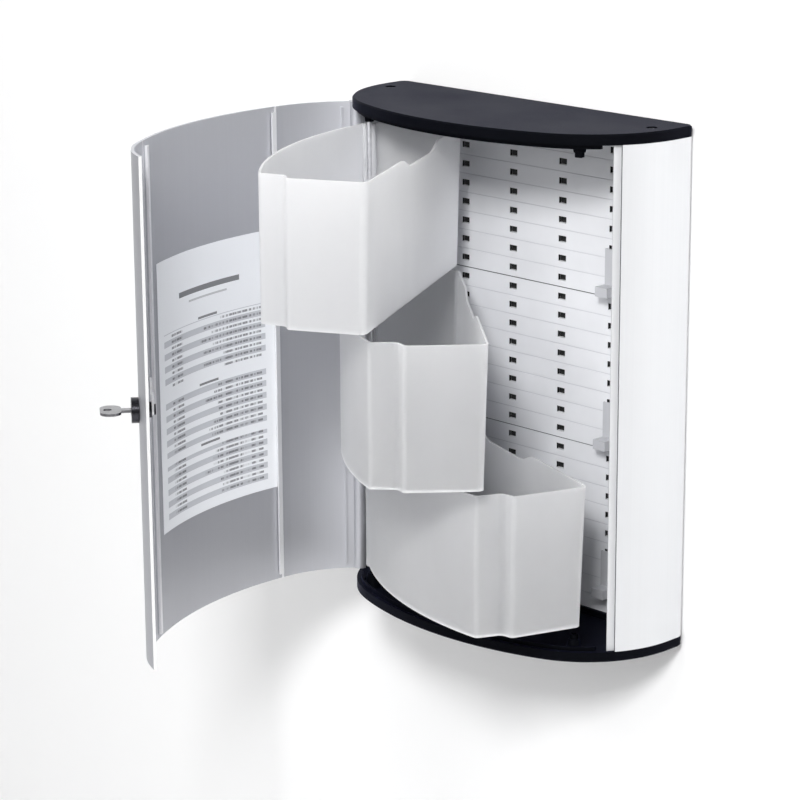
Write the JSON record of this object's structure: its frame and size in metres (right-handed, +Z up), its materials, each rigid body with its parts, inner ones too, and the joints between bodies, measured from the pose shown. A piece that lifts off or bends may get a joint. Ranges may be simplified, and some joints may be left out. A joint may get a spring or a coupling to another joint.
{
  "type": "first aid cabinet",
  "caption": "Wall-hung first aid cabinet: D-shaped case of satin aluminium profiles between dark caps, hinged curved door with a cam lock, three swing-out trays over a slotted back.",
  "frame": {"origin": "on the wall plane, in the middle of the four wall screw holes, half way up the cabinet", "axes": "+X to the right as one faces the cabinet, -Y out of the wall towards the user, +Z up"},
  "size_m": [0.3199, 0.3477, 0.4],
  "materials": {
    "caps": "fine grained anthracite",
    "profiles": "satin anodised",
    "door": "satin anodised",
    "plates": "light grey",
    "rests": "light grey",
    "trays": "milky translucent",
    "steel": "bright drawn",
    "screws": "blackened",
    "sheet": "printed paper",
    "lock_chrome": "bright",
    "lock_dark": "dark zinc",
    "lock_zinc": "zinc plated",
    "key": "nickel plated"
  },
  "bodies": {
    "cabinet": {"bottom_cap": "caps", "top_cap": "caps", "left_side_profile": "profiles", "right_side_profile": "profiles", "back_plate_upper": "plates", "back_plate_middle": "plates", "back_plate_lower": "plates", "tray_pivot_rod": "steel", "tray_rest_top": "rests", "tray_rest_middle": "rests", "tray_rest_bottom": "rests", "top_cap_screws": "screws", "bottom_cap_screws": "screws"},
    "door": {"door_profile": "door", "insert_sheet": "sheet", "lock_housing": "lock_chrome", "lock_nut": "lock_dark"},
    "top_tray": {"tray_top": "trays"},
    "middle_tray": {"tray_middle": "trays"},
    "bottom_tray": {"tray_bottom": "trays"},
    "lock_core": {"lock_plug": "lock_zinc", "lock_cam": "lock_zinc", "cam_screw": "lock_dark"},
    "key": {"key": "key"}
  },
  "joints": [
    {"name": "door_hinge", "type": "hinge", "parent": "cabinet", "child": "door", "pos_m": [-0.1412, -0.06238, 0], "axis": [0, 0, -1], "range_deg": [-75.9, 24.1]},
    {"name": "top_tray_pivot", "type": "hinge", "parent": "cabinet", "child": "top_tray", "pos_m": [-0.109, -0.079, 0], "axis": [0, 0, -1], "range_deg": [-61.6, 19.6]},
    {"name": "middle_tray_pivot", "type": "hinge", "parent": "cabinet", "child": "middle_tray", "pos_m": [-0.109, -0.079, 0], "axis": [0, 0, -1], "range_deg": [-40.6, 12.9]},
    {"name": "bottom_tray_pivot", "type": "hinge", "parent": "cabinet", "child": "bottom_tray", "pos_m": [-0.109, -0.079, 0], "axis": [0, 0, -1], "range_deg": [-19.4, 6.2]},
    {"name": "lock_turn", "type": "hinge", "parent": "door", "child": "lock_core", "pos_m": [-0.10179, -0.3207, 0], "axis": [0.6004, 0.7997, 0], "range_deg": [0, 90]},
    {"name": "key_slide", "type": "slide", "parent": "lock_core", "child": "key", "axis": [-0.6004, -0.7997, 0], "range_m": [0, 0.025]}
  ],
  "couplings": [
    {"joint": "top_tray_pivot", "follows": "door_hinge", "ratio": 0.81159},
    {"joint": "middle_tray_pivot", "follows": "door_hinge", "ratio": 0.53491},
    {"joint": "bottom_tray_pivot", "follows": "door_hinge", "ratio": 0.25559}
  ]
}
